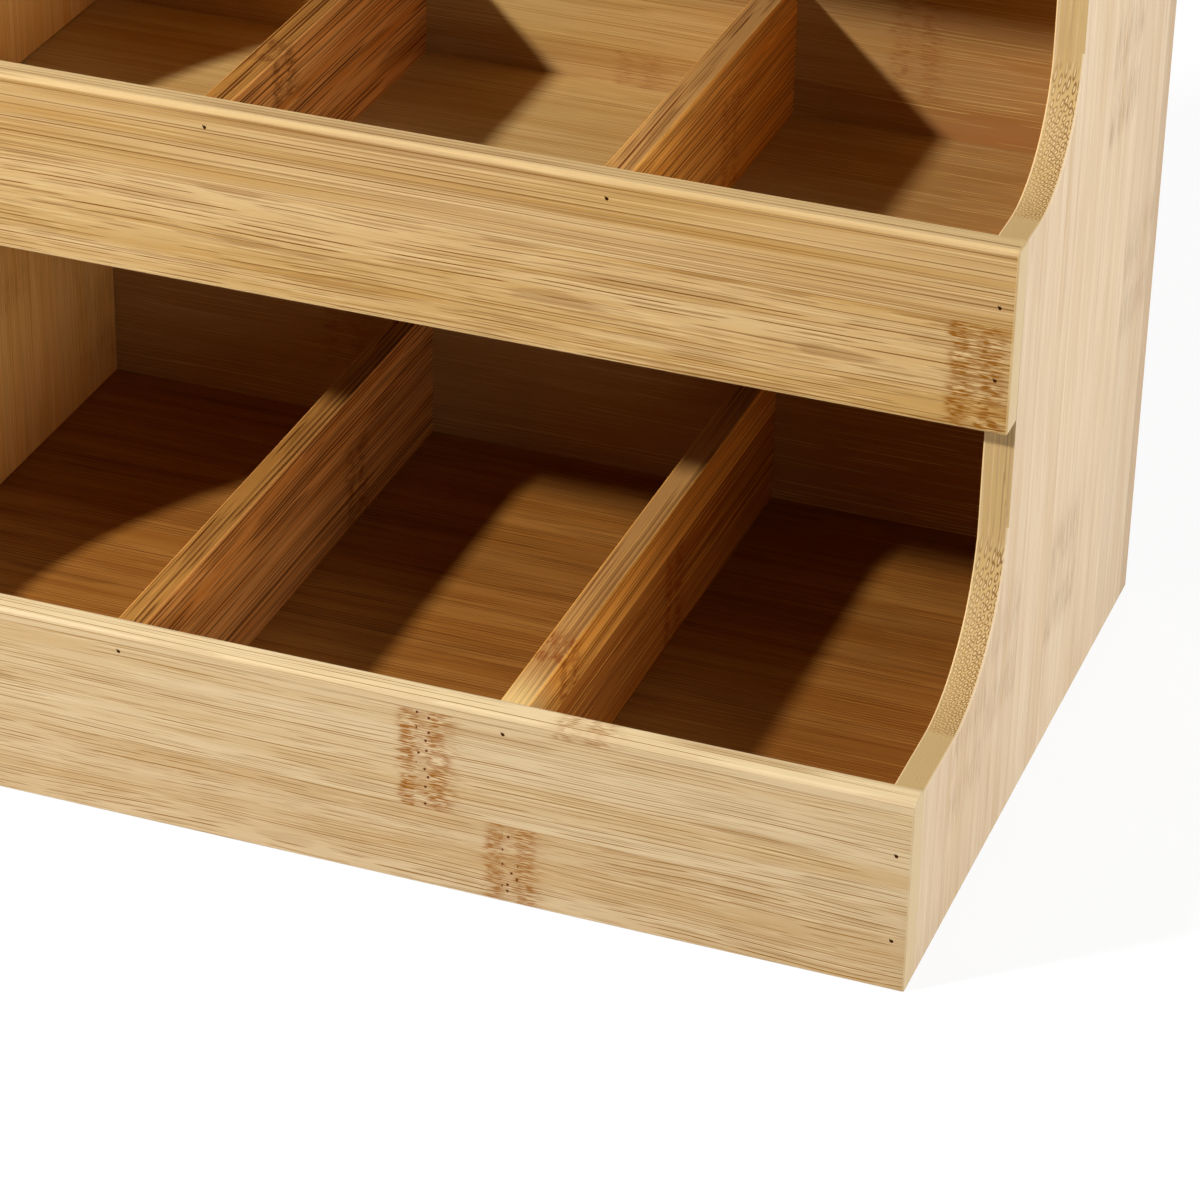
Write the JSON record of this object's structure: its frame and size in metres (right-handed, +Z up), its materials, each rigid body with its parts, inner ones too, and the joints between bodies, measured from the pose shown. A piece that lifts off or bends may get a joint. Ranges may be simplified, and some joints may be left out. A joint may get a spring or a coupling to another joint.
{
  "type": "tea bag organizer",
  "caption": "Stepped bamboo countertop organizer: shaped side panels carry tiered open bins, each fronted by a low rail and split by low dividers, for tea bags.",
  "frame": {"origin": "middle of the footprint on the worktop", "axes": "+X to the right seen from the front, +Y towards the back panel, +Z up"},
  "size_m": [0.242, 0.162, 0.2226],
  "materials": {
    "side_bamboo": "satin clear lacquer",
    "rail_bamboo": "satin clear lacquer",
    "panel_bamboo": "satin clear lacquer",
    "divider_bamboo": "satin clear lacquer",
    "pin_steel": "dull dark wire"
  },
  "bodies": {
    "root": {"left_side_panel": "side_bamboo", "right_side_panel": "side_bamboo", "back_panel": "panel_bamboo", "floor_board": "panel_bamboo", "lower_rail": "rail_bamboo", "lower_left_divider": "divider_bamboo", "lower_right_divider": "divider_bamboo", "lower_rail_pin_left_low": "pin_steel", "lower_rail_pin_left_high": "pin_steel", "lower_rail_pin_left_divider": "pin_steel", "lower_rail_pin_right_low": "pin_steel", "lower_rail_pin_right_high": "pin_steel", "lower_rail_pin_right_divider": "pin_steel", "middle_shelf": "panel_bamboo", "middle_rail": "rail_bamboo", "middle_left_divider": "divider_bamboo", "middle_right_divider": "divider_bamboo", "middle_rail_pin_left_low": "pin_steel", "middle_rail_pin_left_high": "pin_steel", "middle_rail_pin_left_divider": "pin_steel", "middle_rail_pin_right_low": "pin_steel", "middle_rail_pin_right_high": "pin_steel", "middle_rail_pin_right_divider": "pin_steel", "top_shelf": "panel_bamboo", "top_rail": "rail_bamboo", "top_left_divider": "divider_bamboo", "top_right_divider": "divider_bamboo", "top_rail_pin_left_low": "pin_steel", "top_rail_pin_left_high": "pin_steel", "top_rail_pin_left_divider": "pin_steel", "top_rail_pin_right_low": "pin_steel", "top_rail_pin_right_high": "pin_steel", "top_rail_pin_right_divider": "pin_steel"}
  },
  "joints": []
}
